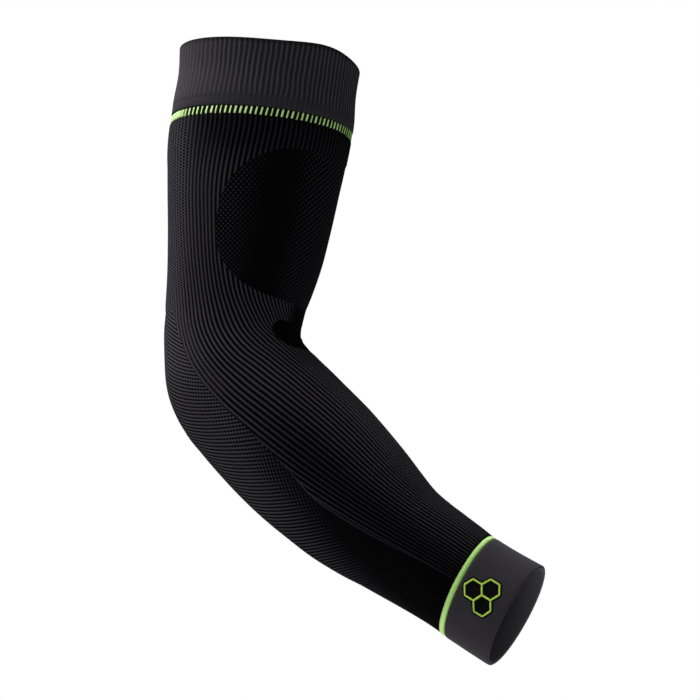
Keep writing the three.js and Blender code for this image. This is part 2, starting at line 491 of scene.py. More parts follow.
def stitch_rings(upper: Ring, lower: Ring, first: int, second: int) -> list[tuple[int, ...]]:
    """Faces between two rings, whose points may differ in number.

    Args:
        upper: First ring.
        lower: Next ring down the profile.
        first: Index of the first ring's first point.
        second: Index of the next ring's first point.

    Returns:
        Quads where both rings have the same column, and triangles elsewhere.
    """
    by_rib = upper.follows_ribs and lower.follows_ribs
    a, b = (upper.key, lower.key) if by_rib else (upper.degrees, lower.degrees)
    end = 1500.0 if by_rib else 360.0
    a, b = [*a.tolist(), end], [*b.tolist(), end]
    same = 1e-6 if by_rib else 1e-3
    i = j = 0
    faces: list[tuple[int, ...]] = []
    while i < len(a) - 1 or j < len(b) - 1:
        next_a = a[i + 1] if i < len(a) - 1 else math.inf
        next_b = b[j + 1] if j < len(b) - 1 else math.inf
        ai, an = (first + k % (len(a) - 1) for k in (i, i + 1))
        bj, bn = (second + k % (len(b) - 1) for k in (j, j + 1))
        if abs(next_a - next_b) < same:
            faces.append((ai, an, bn, bj))
            i, j = i + 1, j + 1
        elif next_a < next_b:
            faces.append((ai, an, bj))
            i += 1
        else:
            faces.append((ai, bn, bj))
            j += 1
    return faces


@dataclass(frozen=True)
class Panel:
    """Closed panel in the knit, drawn on the unrolled sleeve, with its corners rounded off.

    Points are pairs of an angle in degrees and a distance down the arm, on one side of the arm.
    """

    corners: tuple[tuple[float, float], ...]
    mm_per_degree: float
    rounds: int = 3

    def depth(self, degrees: np.ndarray, s: np.ndarray) -> np.ndarray:
        """Distance in millimetres inside the panel's edge, negative outside it.

        Args:
            degrees: Angles from the front line, 0 to 180.
            s: Distances down the arm.

        Returns:
            Signed distances, shaped as s.
        """
        loop = np.array(self.corners, float) * (self.mm_per_degree, 1.0)
        for _ in range(self.rounds):
            after = np.roll(loop, -1, axis=0)
            loop = np.stack([0.75 * loop + 0.25 * after, 0.25 * loop + 0.75 * after], 1).reshape(-1, 2)
        x, y = degrees * self.mm_per_degree, s
        near = np.full(x.shape, np.inf)
        inside = np.zeros(x.shape, bool)
        for start, end in zip(loop, np.roll(loop, -1, axis=0)):
            d = end - start
            along = np.clip(((x - start[0]) * d[0] + (y - start[1]) * d[1]) / max(d @ d, 1e-9), 0, 1)
            near = np.minimum(near, np.hypot(x - start[0] - along * d[0], y - start[1] - along * d[1]))
            crosses = (start[1] > y) != (end[1] > y)
            rise = d[1] if abs(d[1]) > 1e-9 else 1e-9
            inside ^= crosses & (x < start[0] + (y - start[1]) * d[0] / rise)
        return np.where(inside, near, -near)


@dataclass(frozen=True)
class KnitPattern:
    """Zones of the seamless knit and the stitch counts that their patterns follow."""

    form: ArmForm
    flow: RibFlow
    upper_panel: Panel = Panel(
        (
            (-30, 57), (45, 57), (60, 60), (70, 64), (78.5, 69), (86, 76), (91, 84), (94.5, 94),
            (95.3, 105), (93, 115), (87.5, 122), (79, 129), (66, 134.5), (50, 137.5), (30, 139), (-30, 140),
        ),
        0.8,
    )  # fmt: skip
    elbow_panel: Panel = Panel(
        (
            (-30, 148.5), (24, 148.5), (33, 149.5), (37, 154), (37.5, 162), (35.5, 174), (33.5, 186),
            (30, 192), (22, 196.5), (10, 198.5), (-30, 199.5),
        ),
        0.68,
    )  # fmt: skip
    back_panel: Panel = Panel(
        (
            (215, 149), (160, 149.5), (142, 150), (133.5, 151.5), (123, 159.5), (116.5, 165.5),
            (111.8, 171.5), (107.8, 178.5), (105, 188.5), (103.7, 199), (102.5, 208), (101.2, 217),
            (101, 230), (101.6, 246), (103.4, 257), (105.6, 266), (106.2, 275), (104, 288), (101.8, 299),
            (98.3, 315), (94, 330.5), (91, 343), (89.4, 358), (89, 385), (215, 385),
        ),
        0.68,
    )  # fmt: skip

    # Dots of the upper panel, counted along two diagonals: round the arm, by degrees, and down it.
    falling_round: Curve = Curve({0: 0, 25: -5.5, 40: -9.05, 55: -12.95, 72: -17.85, 90: -23.5, 110: -29.8})
    falling_down: Curve = Curve({55: 0, 80: 7.5, 100: 13.4, 120: 19.9, 140: 27.1})
    rising_round: Curve = Curve({0: 0, 25: 7.4, 40: 11.45, 55: 15.35, 72: 19.75, 90: 24.4, 110: 29.5})
    rising_down: Curve = Curve({55: 0, 80: 8.4, 100: 15.6, 120: 23.9, 140: 33.3})
    # Courses of the back panel down the cloth: their count, and their slant in courses a degree.
    course_count: Curve = Curve({
        150: -6.4, 164: 0, 180: 7.3, 196: 14.05, 216: 21.87, 232: 28.05, 248: 33.7, 263: 39, 279: 44.6,
        294: 50.1, 310: 56.2, 326: 62.9, 341: 69.8, 357: 78.2, 378: 91,
    })  # fmt: skip
    course_slant: Curve = Curve({
        150: 0.13, 164: 0.123, 180: 0.108, 196: 0.085, 216: 0.058, 232: 0.06, 248: 0.072, 263: 0.063,
        279: 0.047, 294: 0.024, 310: 0, 326: -0.024, 341: -0.04, 357: -0.07, 378: -0.1,
    })  # fmt: skip
    # The second diagonal, which crosses the courses.
    cross_count: Curve = Curve({150: -20.5, 216: 0, 248: 9.1, 279: 17.9, 310: 27.1, 341: 38.2, 378: 52.6})
    cross_slant: Curve = Curve({
        196: -0.44, 216: -0.445, 232: -0.463, 248: -0.462, 263: -0.46, 279: -0.446, 294: -0.435,
        310: -0.425, 326: -0.44, 341: -0.47, 357: -0.52, 378: -0.56,
    })  # fmt: skip
    # Stitch rows of the ribs down the cloth.
    row_count: Curve = Curve({0: -30, 50: 0, 95: 25.9, 125: 44.8, 150: 62.4, 400: 218})

    def upper_cells(self, degrees: np.ndarray, s: np.ndarray) -> tuple[np.ndarray, np.ndarray]:
        """Phases of the two diagonals whose crossings are the upper panel's dots."""
        falling = self.falling_round(degrees) + self.falling_down(s)
        return falling, self.rising_round(degrees) + self.rising_down(s)

    def back_cells(self, degrees: np.ndarray, s: np.ndarray) -> tuple[np.ndarray, np.ndarray]:
        """Phases of the back panel's slanting courses and of the second diagonal across them.

        Both are counted down the cloth, and close as arcs on the back line of the arm.

        Args:
            degrees: Angles from the front line, 0 to 180.
            s: Distances down the arm.

        Returns:
            The two phases, in whole turns.
        """
        past = np.clip((degrees - 150) / 30, 0, 1)
        turn = np.where(degrees > 150, 150 + 30 * (past - past * past / 2), degrees)
        down = self.form.skin_length(s, np.radians(degrees))
        first = self.course_slant(down) * (turn - 130) + self.course_count(down)
        first += 0.00135 * (turn - 130) ** 2 * ease(s, 158, 178)
        second = self.cross_slant(down) * (turn - 115) + 0.001 * (turn - 122) ** 2
        return first, second + self.cross_count(down)

    def courses(self, degrees: np.ndarray, s: np.ndarray) -> np.ndarray:
        """Count of stitch rows down the cloth, which tilt toward the back of the upper arm.

        Args:
            degrees: Angles from the front line, 0 to 180.
            s: Distances down the arm.

        Returns:
            The count, in whole rows.
        """
        down = self.form.skin_length(s, np.radians(degrees))
        tilt = 0.043 * ease(s, 150, 115) * np.maximum(degrees - 90, 0)
        return self.row_count(down) + tilt


@dataclass(frozen=True)
class Colour:
    """Dye colour as an sRGB hex value."""

    hex: str

    def linear(self) -> tuple[float, float, float, float]:
        """Linear RGBA for a shader socket.

        Returns:
            Red, green, blue and a full alpha.
        """
        channels = [int(self.hex[i : i + 2], 16) / 255 for i in (1, 3, 5)]
        red, green, blue = (c / 12.92 if c <= 0.04045 else ((c + 0.055) / 1.055) ** 2.4 for c in channels)
        return red, green, blue, 1.0


def add_node(
    tree: bpy.types.NodeTree,
    kind: str,
    inputs: dict[int | str, object] | None = None,
    **settings: object,
) -> bpy.types.Node:
    """Adds one node with its settings and links.

    Args:
        tree: Node tree that gets the node.
        kind: Node type without the ShaderNode prefix.
        inputs: A socket to link or a value to set, for each input's name or number.
        settings: Properties of the node itself.

    Returns:
        The new node.
    """
    node = tree.nodes.new("ShaderNode" + kind)
    for name, value in settings.items():
        setattr(node, name, value)
    for key, value in (inputs or {}).items():
        if isinstance(value, Socket):
            tree.links.new(value, node.inputs[key])
        else:
            node.inputs[key].default_value = value
    return node


@dataclass
class Recipe:
    """Material under construction: its node tree and the few sums that knit patterns are made of."""

    name: str
    material: bpy.types.Material = field(init=False)
    tree: bpy.types.NodeTree = field(init=False)

    def __post_init__(self) -> None:
        """Starts an empty node material."""
        self.material = bpy.data.materials.new(self.name)
        self.material.use_nodes = True
        self.tree = self.material.node_tree
        self.tree.nodes.clear()

    def sum(self, operation: str, *values: Socket | float, clamp: bool = False) -> Socket:
        """Output of one arithmetic step on one to three values."""
        inputs = dict(enumerate(values))
        return add_node(self.tree, "Math", inputs, operation=operation, use_clamp=clamp).outputs[0]

    def ramp(
        self, value: Socket, low: Socket | float, high: Socket | float, start: float = 0, end: float = 1
    ) -> Socket:
        """Smooth step of a value between two bounds.

        Args:
            value: What is stepped.
            low: Bound at which the step starts.
            high: Bound at which it ends.
            start: Result below the low bound.
            end: Result above the high bound.

        Returns:
            The stepped value.
        """
        inputs = {0: value, 1: low, 2: high, 3: start, 4: end}
        return add_node(self.tree, "MapRange", inputs, interpolation_type="SMOOTHSTEP").outputs[0]

    def wave(self, turns: Socket) -> Socket:
        """Cosine of a phase that is counted in whole turns."""
        return self.sum("COSINE", self.sum("MULTIPLY", turns, math.tau))

    def fields(self, name: str) -> list[Socket]:
        """The three smooth values that the mesh stores under one name."""
        stored = add_node(self.tree, "Attribute", attribute_name=name)
        return list(add_node(self.tree, "SeparateXYZ", {0: stored.outputs["Vector"]}).outputs)

    def blend(self, share: Socket | float, first: Colour | Socket, second: Colour | Socket) -> Socket:
        """Colour between two colours.

        Args:
            share: 0 for the first colour to 1 for the second.
            first: First colour.
            second: Second colour.

        Returns:
            The mixed colour.
        """
        ends = [c.linear() if isinstance(c, Colour) else c for c in (first, second)]
        inputs = {0: share, 6: ends[0], 7: ends[1]}
        return add_node(self.tree, "Mix", inputs, data_type="RGBA").outputs[2]

    def fuzz(self, scale: float, detail: float = 2.0) -> Socket:
        """Fine three-dimensional noise in the object's own metres, for loose fibres."""
        place = add_node(self.tree, "TexCoord").outputs["Object"]
        return add_node(self.tree, "TexNoise", {"Vector": place, "Scale": scale, "Detail": detail}).outputs[0]

    def finish(
        self, colour: Socket, height: Socket, relief: float, roughness: float, **constants: float
    ) -> bpy.types.Material:
        """Closes the material with its surface shader.

        Args:
            colour: Base colour.
            height: Height of the fine relief, 0 to 1.
            relief: What a height of 1 stands for, in millimetres.
            roughness: Roughness of the yarn.
            constants: Further shader sockets, with spaces written as underscores.

        Returns:
            The finished material.
        """
        bump = add_node(self.tree, "Bump", {"Strength": 1.0, "Distance": relief * MM, "Height": height})
        inputs = {"Base Color": colour, "Roughness": roughness, "Normal": bump.outputs[0]}
        inputs |= {name.replace("_", " "): value for name, value in constants.items()}
        surface = add_node(self.tree, "BsdfPrincipled", inputs)
        add_node(self.tree, "OutputMaterial", {"Surface": surface.outputs[0]})
        return self.material


@dataclass(frozen=True)
class ZonedKnit:
    """Black nylon and elastane knit with charcoal plating yarn: the ribs, beads and dots are the yarn.

    Matt filament yarn scatters light nearly evenly, so it has hardly any highlight.
    """

    ground: Colour = Colour("#040405")
    plating: Colour = Colour("#4a484f")

    def ribs(self, r: Recipe, grid: list[Socket], beside: Socket, beaded: Socket, tone: Socket) -> Socket:
        """Where plating yarn shows among the ribs.

        Args:
            r: The material under construction.
            grid: Count of ribs, count of stitch rows and distance down the arm.
            beside: Distance inside a panel.
            beaded: How far the grooves are beaded.
            tone: Share of plating yarn on the ribs.

        Returns:
            Share of plating yarn.
        """
        rib, row, down = grid
        # Ribs 2.7 to 3.4 mm apart: up to half of each pitch in plating yarn, less where it is scant.
        low = r.sum("MAXIMUM", r.sum("MULTIPLY_ADD", tone, -1.1, 0.25), -0.35)
        low = r.sum("ADD", low, r.ramp(beaded, 0.45, 0.95, 0, 0.4))
        crest = r.ramp(r.wave(rib), low, r.sum("ADD", low, 0.85))
        # Black beads in the grooves, staggered from groove to groove, and yarn bridging them between.
        half = r.wave(r.sum("MULTIPLY", r.sum("ADD", rib, 0.5), 0.5))
        bead = r.ramp(r.sum("MULTIPLY", half, r.wave(row)), -0.35, 0.15, 1, 0)
        bridge = r.sum("MULTIPLY", r.sum("MULTIPLY", beaded, bead), r.sum("SUBTRACT", 1.0, crest))
        # A narrow rib of its own runs along the back panel on the forearm.
        seam = r.sum("MULTIPLY", r.ramp(beside, -1.0, -0.7), r.ramp(down, 236, 268))
        seam = r.sum("MULTIPLY", seam, r.ramp(r.wave(row), -0.7, 0.3, 0.35, 1.0))
        return r.sum("MULTIPLY", r.sum("MAXIMUM", r.sum("ADD", crest, bridge), seam), tone)

    def cells(self, r: Recipe, level: Socket) -> Socket:
        """Slanting courses, which a second diagonal breaks up into beads and then into dots.

        Short of dots the courses stay whole, and only the grooves between them are bridged.

        Args:
            r: The material under construction.
            level: Height at which plating yarn starts to show.

        Returns:
            Share of plating yarn.
        """
        first, second, dotted = r.fields("knit_cells")
        course = r.wave(first)
        whole = r.sum("MULTIPLY", r.ramp(dotted, 0.9, 1.0, 0.35, 0.0), r.sum("ADD", course, 1.0))
        broken = r.sum("MULTIPLY", dotted, r.sum("SUBTRACT", 1.0, whole))
        crossing = r.sum("MULTIPLY_ADD", r.wave(second), broken, course)
        return r.ramp(crossing, level, r.sum("ADD", level, 0.9))

    def build(self) -> bpy.types.Material:
        """Makes the material.

        Returns:
            The material, which reads the stitch fields of the mesh.
        """
        r = Recipe("black_nylon_zoned_knit")
        grid = r.fields("knit_grid")
        panel, elbow, beaded = r.fields("knit_panels")
        rib_tone, cell_tone, level = r.fields("knit_tone")
        ribs = self.ribs(r, grid, panel, beaded, rib_tone)
        cells = self.cells(r, level)
        inside = r.ramp(panel, -0.3, 0.3)
        share = r.sum("SUBTRACT", r.sum("MULTIPLY", cells, cell_tone), ribs)
        share = r.sum("MULTIPLY_ADD", inside, share, ribs)
        # The elbow panel has no plating yarn at all.
        share = r.sum("MULTIPLY", share, r.ramp(elbow, -0.35, 0.35, 1, 0))
        # Loops of each rib, two wales of them, 0.8 mm apart.
        wale = r.sum("PINGPONG", grid[0], 0.5)
        loops = r.wave(r.sum("MULTIPLY_ADD", wale, 1.6, r.sum("MULTIPLY", grid[1], 2.0)))
        fuzz = r.fuzz(1500)
        yarn = r.sum("MULTIPLY_ADD", loops, 0.14, r.sum("MULTIPLY_ADD", fuzz, 0.6, 0.7))
        colour = r.blend(r.sum("MULTIPLY", share, yarn), self.ground, self.plating)
        relief = r.sum("MULTIPLY_ADD", inside, r.sum("SUBTRACT", cells, loops), loops)
        relief = r.sum("ADD", r.sum("MULTIPLY", relief, 0.4), fuzz)
        return r.finish(colour, relief, 0.14, 0.95, Specular_IOR_Level=0.02)


@dataclass(frozen=True)
class CharcoalRibKnit:
    """Charcoal nylon rib knit of the upper cuff: narrow soft ridges, worn in waves, and grooves darkened as
    painted shade.
    """

    ridge: Colour = Colour("#403e43")
    # Darker charcoal of the grooves: painted shade between the ridges of one yarn.
    groove: Colour = Colour("#222124")
    # Near black painted shade of the rolled rim.
    edge: Colour = Colour("#050506")

    def build(self) -> bpy.types.Material:
        """Makes the material.

        Returns:
            The material, whose grooves follow the ribs of the mesh.
        """
        r = Recipe("charcoal_nylon_rib_knit")
        rib, row, down = r.fields("knit_grid")
        ribbed, hem, ends = r.fields("cuff_zones")
        # The ridges wander by a sixth of their 3.1 mm pitch.
        rib = r.sum("MULTIPLY_ADD", r.sum("SUBTRACT", r.fuzz(95, 1.0), 0.5), 0.6, rib)
        # Painted shade: the grooves between the ridges take the darker colour, less where the face is less
        # ribbed.
        ridge = r.ramp(r.wave(rib), -0.2, 1.1)
        share = r.sum("MULTIPLY_ADD", r.sum("SUBTRACT", ridge, 0.42), ribbed, 0.42)
        # Turned hem: a dark line of uneven linking stitches.
        link = r.ramp(r.sum("ADD", r.wave(r.sum("MULTIPLY", rib, 2.0)), r.fuzz(400)), -0.4, 1.2)
        share = r.sum("MULTIPLY", share, r.sum("MULTIPLY_ADD", r.sum("MULTIPLY", hem, link), -0.55, 1.0))
        share = r.sum("MULTIPLY", share, r.ramp(down, 30.5, 33.5, 1.0, 0.72))
        # 0.7 mm wales and courses of the plain face.
        wales = r.wave(r.sum("MULTIPLY", rib, 4.0))
        rows = r.wave(r.sum("MULTIPLY", row, 2.3))
        fuzz = r.fuzz(1800)
        loose = r.sum("MULTIPLY_ADD", fuzz, 0.35, 0.82)
        share = r.sum("MULTIPLY", share, r.sum("MULTIPLY_ADD", r.sum("MULTIPLY", wales, rows), 0.05, loose))
        # Painted shade: the rolled rim is blended toward near black.
        colour = r.blend(ends, self.edge, r.blend(share, self.groove, self.ridge))
        height = r.sum("MULTIPLY_ADD", rows, 0.15, r.sum("MULTIPLY_ADD", wales, 0.15, fuzz))
        return r.finish(colour, height, 0.1, 0.92, Specular_IOR_Level=0.03)


@dataclass(frozen=True)
class CharcoalJersey:
    """Smooth charcoal jersey of the wrist cuff, with wales too fine to stand out."""

    yarn: Colour = Colour("#37353a")
    shade: Colour = Colour("#2a282d")
    # Inner face of the cuff: paler near the rim as painted light, then near black painted shade deeper in.
    lit_purl_face: Colour = Colour("#4c4a50")
    inner_shade: Colour = Colour("#060607")

    def build(self) -> bpy.types.Material:
        """Makes the material.

        Returns:
            The material.
        """
        r = Recipe("charcoal_nylon_jersey")
        rib, row, _ = r.fields("knit_grid")
        # 0.7 mm wales and courses.
        wales = r.wave(r.sum("MULTIPLY", rib, 3.0))
        rows = r.wave(r.sum("MULTIPLY", row, 2.3))
        fuzz = r.fuzz(1800)
        share = r.sum("MULTIPLY_ADD", r.sum("MULTIPLY", wales, rows), 0.14, fuzz)
        colour = r.blend(share, self.yarn, self.shade)
        # Inside the cuff the purl face is painted paler near the rim as painted light, and further in it
        # darkens to near black as painted shade.
        inside, deep, _ = r.fields("cuff_inside_shade")
        colour = r.blend(inside, colour, r.blend(deep, self.lit_purl_face, self.inner_shade))
        height = r.sum("MULTIPLY_ADD", wales, 0.2, r.sum("MULTIPLY_ADD", rows, 0.15, fuzz))
        gloss = {"Specular_IOR_Level": 0.06, "Sheen_Weight": 0.06, "Sheen_Roughness": 0.4}
        return r.finish(colour, height, 0.06, 0.9, **gloss)


@dataclass(frozen=True)
class LimeBarKnit:
    """Lime float stitches over a black ground: uneven bars at the rib pitch, solid at the back."""

    lime: Colour = Colour("#d4f4a4")
    shade: Colour = Colour("#7cc44a")
    solid: Colour = Colour("#a4be8a")
    ground: Colour = Colour("#050804")

    def build(self) -> bpy.types.Material:
        """Makes the material.

        Returns:
            The material, which reads where the bars close up.
        """
        r = Recipe("lime_nylon_float_stitch")
        closed, edge, rib = r.fields("band_zones")
        side_light = r.fields("band_side_light")[0]
        # Every bar takes its own width, from a fifth to two fifths of the 3.1 mm pitch, and its own
        # brightness.
        number = r.sum("ROUND", rib)
        own = add_node(r.tree, "TexWhiteNoise", {"W": number}, noise_dimensions="1D").outputs[0]
        low = r.sum("MULTIPLY_ADD", own, 0.5, 0.1)
        bars = r.ramp(r.wave(rib), low, r.sum("ADD", low, 0.35))
        bars = r.sum("MAXIMUM", bars, closed)
        bars = r.sum("MULTIPLY", bars, r.ramp(r.sum("MULTIPLY_ADD", own, 0.5, edge), 0.2, 0.9))
        # Strands of each float stitch, three to a bar.
        strands = r.wave(r.sum("MULTIPLY", rib, 6.0))
        fuzz = r.fuzz(2200)
        lit = r.sum("MULTIPLY_ADD", strands, 0.1, r.sum("MULTIPLY_ADD", fuzz, 0.8, 0.3))
        lit = r.sum("SUBTRACT", lit, r.sum("MULTIPLY", r.sum("MULTIPLY", own, own), 0.35))
        # Painted light: the bars are paler or darker by the side of the arm they lie on.
        lit = r.sum("ADD", lit, side_light, clamp=True)
        thread = r.blend(lit, self.shade, self.lime)
        # Where the bars close up the yarn lies flat, and looks paler and less green.
        thread = r.blend(r.sum("MULTIPLY", closed, 0.85), thread, self.solid)
        colour = r.blend(bars, self.ground, thread)
        height = r.sum("MULTIPLY_ADD", strands, 0.3, r.sum("ADD", fuzz, bars))
        return r.finish(colour, height, 0.1, 0.85, Specular_IOR_Level=0.08)


@dataclass(frozen=True)
class LimeLineKnit:
    """Solid lime rows of the wrist band, with a slanting stitch every 1.3 mm."""

    lime: Colour = Colour("#d4ff98")
    shade: Colour = Colour("#86ce52")

    def build(self) -> bpy.types.Material:
        """Makes the material.

        Returns:
            The material.
        """
        r = Recipe("lime_nylon_plain_rows")
        stitch, row, edge = r.fields("band_zones")
        slanted = r.wave(r.sum("MULTIPLY_ADD", row, 0.45, stitch))
        fuzz = r.fuzz(2200)
        share = r.sum("MULTIPLY_ADD", slanted, 0.36, r.sum("MULTIPLY_ADD", fuzz, 0.6, 0.08))
        # Painted shade at the band's edges, and painted sheen toward the sides of the arm.
        share = r.sum("ADD", share, edge, clamp=True)
        colour = r.blend(share, self.lime, self.shade)
        height = r.sum("SUBTRACT", fuzz, slanted)
        gloss = {"Specular_IOR_Level": 0.08, "Sheen_Weight": 0.35, "Sheen_Roughness": 0.5}
        return r.finish(colour, height, 0.12, 0.85, **gloss)


@dataclass(frozen=True)
class SatinThread:
    """Lime viscose embroidery thread in satin stitch: brighter than the knit, with a soft gloss."""

    lime: Colour = Colour("#cdf45c")
    shade: Colour = Colour("#7cac2c")

    def build(self) -> bpy.types.Material:
        """Makes the material.

        Returns:
            The material, whose threads run across the stitched line.
        """
        r = Recipe("lime_viscose_satin_stitch")
        strand = r.wave(r.fields("stitch")[0])
        fuzz = r.fuzz(3000)
        share = r.sum("MULTIPLY_ADD", strand, -0.3, r.sum("MULTIPLY_ADD", fuzz, 0.4, 0.1), clamp=True)
        colour = r.blend(share, self.lime, self.shade)
        return r.finish(colour, r.sum("ADD", strand, fuzz), 0.05, 0.55, Specular_IOR_Level=0.3)


@dataclass(frozen=True)
class BlackFillStitch:
    """Black polyester fill stitches inside the emblem's cells, in rows 0.4 mm apart."""

    thread: Colour = Colour("#0b0b0c")
    gap: Colour = Colour("#030303")

    def build(self) -> bpy.types.Material:
        """Makes the material.

        Returns:
            The material.
        """
        r = Recipe("black_polyester_fill_stitch")
        rows = r.wave(r.fields("stitch")[0])
        fuzz = r.fuzz(3000)
        colour = r.blend(r.sum("MULTIPLY_ADD", rows, 0.5, 0.5), self.gap, self.thread)
        return r.finish(colour, r.sum("ADD", rows, fuzz), 0.05, 0.8, Specular_IOR_Level=0.05)


@dataclass
class KnittedTube:
    """Closed tube of cloth, made from a loop of rings down its outside and up its inside."""

    pattern: KnitPattern
    name: str = "tube"
    node: str = ""
    slot: str = ""
    wall: float = 2.2
    proud: float = 0.0

    @property
    def form(self) -> ArmForm:
        """Surface that the tube lies on."""
        return self.pattern.form

    def rolled(self, turn: float) -> tuple[float, float]:
        """Place on a rim that is rolled in a half circle of the wall's thickness.

        Args:
            turn: Degrees round the roll: 90 outside, 0 at the very edge and -90 inside.

        Returns:
            How far it lies past the roll's middle, and how far it stands off the form.
        """
        rim, angle = self.wall / 2, math.radians(turn)
        return rim * math.cos(angle), self.proud - rim + rim * math.sin(angle)

    def rings(self) -> list[Ring]:
        """The loop of rings, in order round the wall."""
        raise NotImplementedError

    def relief(self, ring: Ring) -> np.ndarray:
        """Height of the ribs on one ring, in millimetres."""
        return np.zeros(len(ring.rib))

    def zones(self, ring: Ring) -> dict[str, np.ndarray]:
        """Further smooth fields that the finish reads, each with three columns."""
        return {}

    def mesh(self) -> bpy.types.Object:
        """Builds the tube with its stitch fields.

        Returns:
            The piece, smooth shaded and linked to the scene.
        """
        rings = self.rings()
        starts = np.concatenate([[0], np.cumsum([len(ring.rib) for ring in rings])]).tolist()
        points, fields = [], {}
        for ring in rings:
            angle = np.radians(ring.degrees)
            height = ring.proud + (self.relief(ring) if ring.follows_ribs else 0.0)
            points.append(self.form.point(ring.down, angle, height))
            grid = np.stack([ring.rib, self.pattern.courses(ring.folded, ring.down), ring.down], 1)
            for key, value in {"knit_grid": grid, **self.zones(ring)}.items():
                fields.setdefault(key, []).append(value)
        faces: list[tuple[int, ...]] = []
        for i, ring in enumerate(rings):
            k = (i + 1) % len(rings)
            faces += stitch_rings(ring, rings[k], starts[i], starts[k])
        stored = {key: np.concatenate(values) for key, values in fields.items()}
        return new_piece(self.name, np.concatenate(points), faces, stored)

    def build(self, finish: bpy.types.Material) -> bpy.types.Object:
        """Builds, dresses and mounts the piece.

        Args:
            finish: Material of the piece.

        Returns:
            The finished piece.
        """
        piece = self.mesh()
        piece.data.materials.append(finish)
        mount(piece, self.node)
        LOG.info("%s: %d faces", piece.name, len(piece.data.polygons))
        return piece


def new_piece(
    name: str,
    points: np.ndarray,
    faces: Sequence[tuple[int, ...]],
    fields: dict[str, np.ndarray],
) -> bpy.types.Object:
    """Makes a smooth mesh piece.

    Args:
        name: Name of the piece.
        points: Points in millimetres.
        faces: Corners of each face.
        fields: Smooth values stored on the points, three for each.

    Returns:
        The piece, linked to the scene.
    """
    mesh = bpy.data.meshes.new(name)
    mesh.from_pydata((points * MM).tolist(), [], faces)
    for key, values in fields.items():
        stored = mesh.attributes.new(key, "FLOAT_VECTOR", "POINT")
        stored.data.foreach_set("vector", np.asarray(values, np.float32).ravel())
    mesh.shade_smooth()
    piece = bpy.data.objects.new(name, mesh)
    bpy.context.scene.collection.objects.link(piece)
    return piece


def mount(piece: bpy.types.Object, node: str) -> None:
    """Lets a piece ride on the sleeve and stand for its CAD node.

    Args:
        piece: The piece.
        node: CAD node that it stands for.
    """
    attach(piece, "root")
    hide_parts(node)


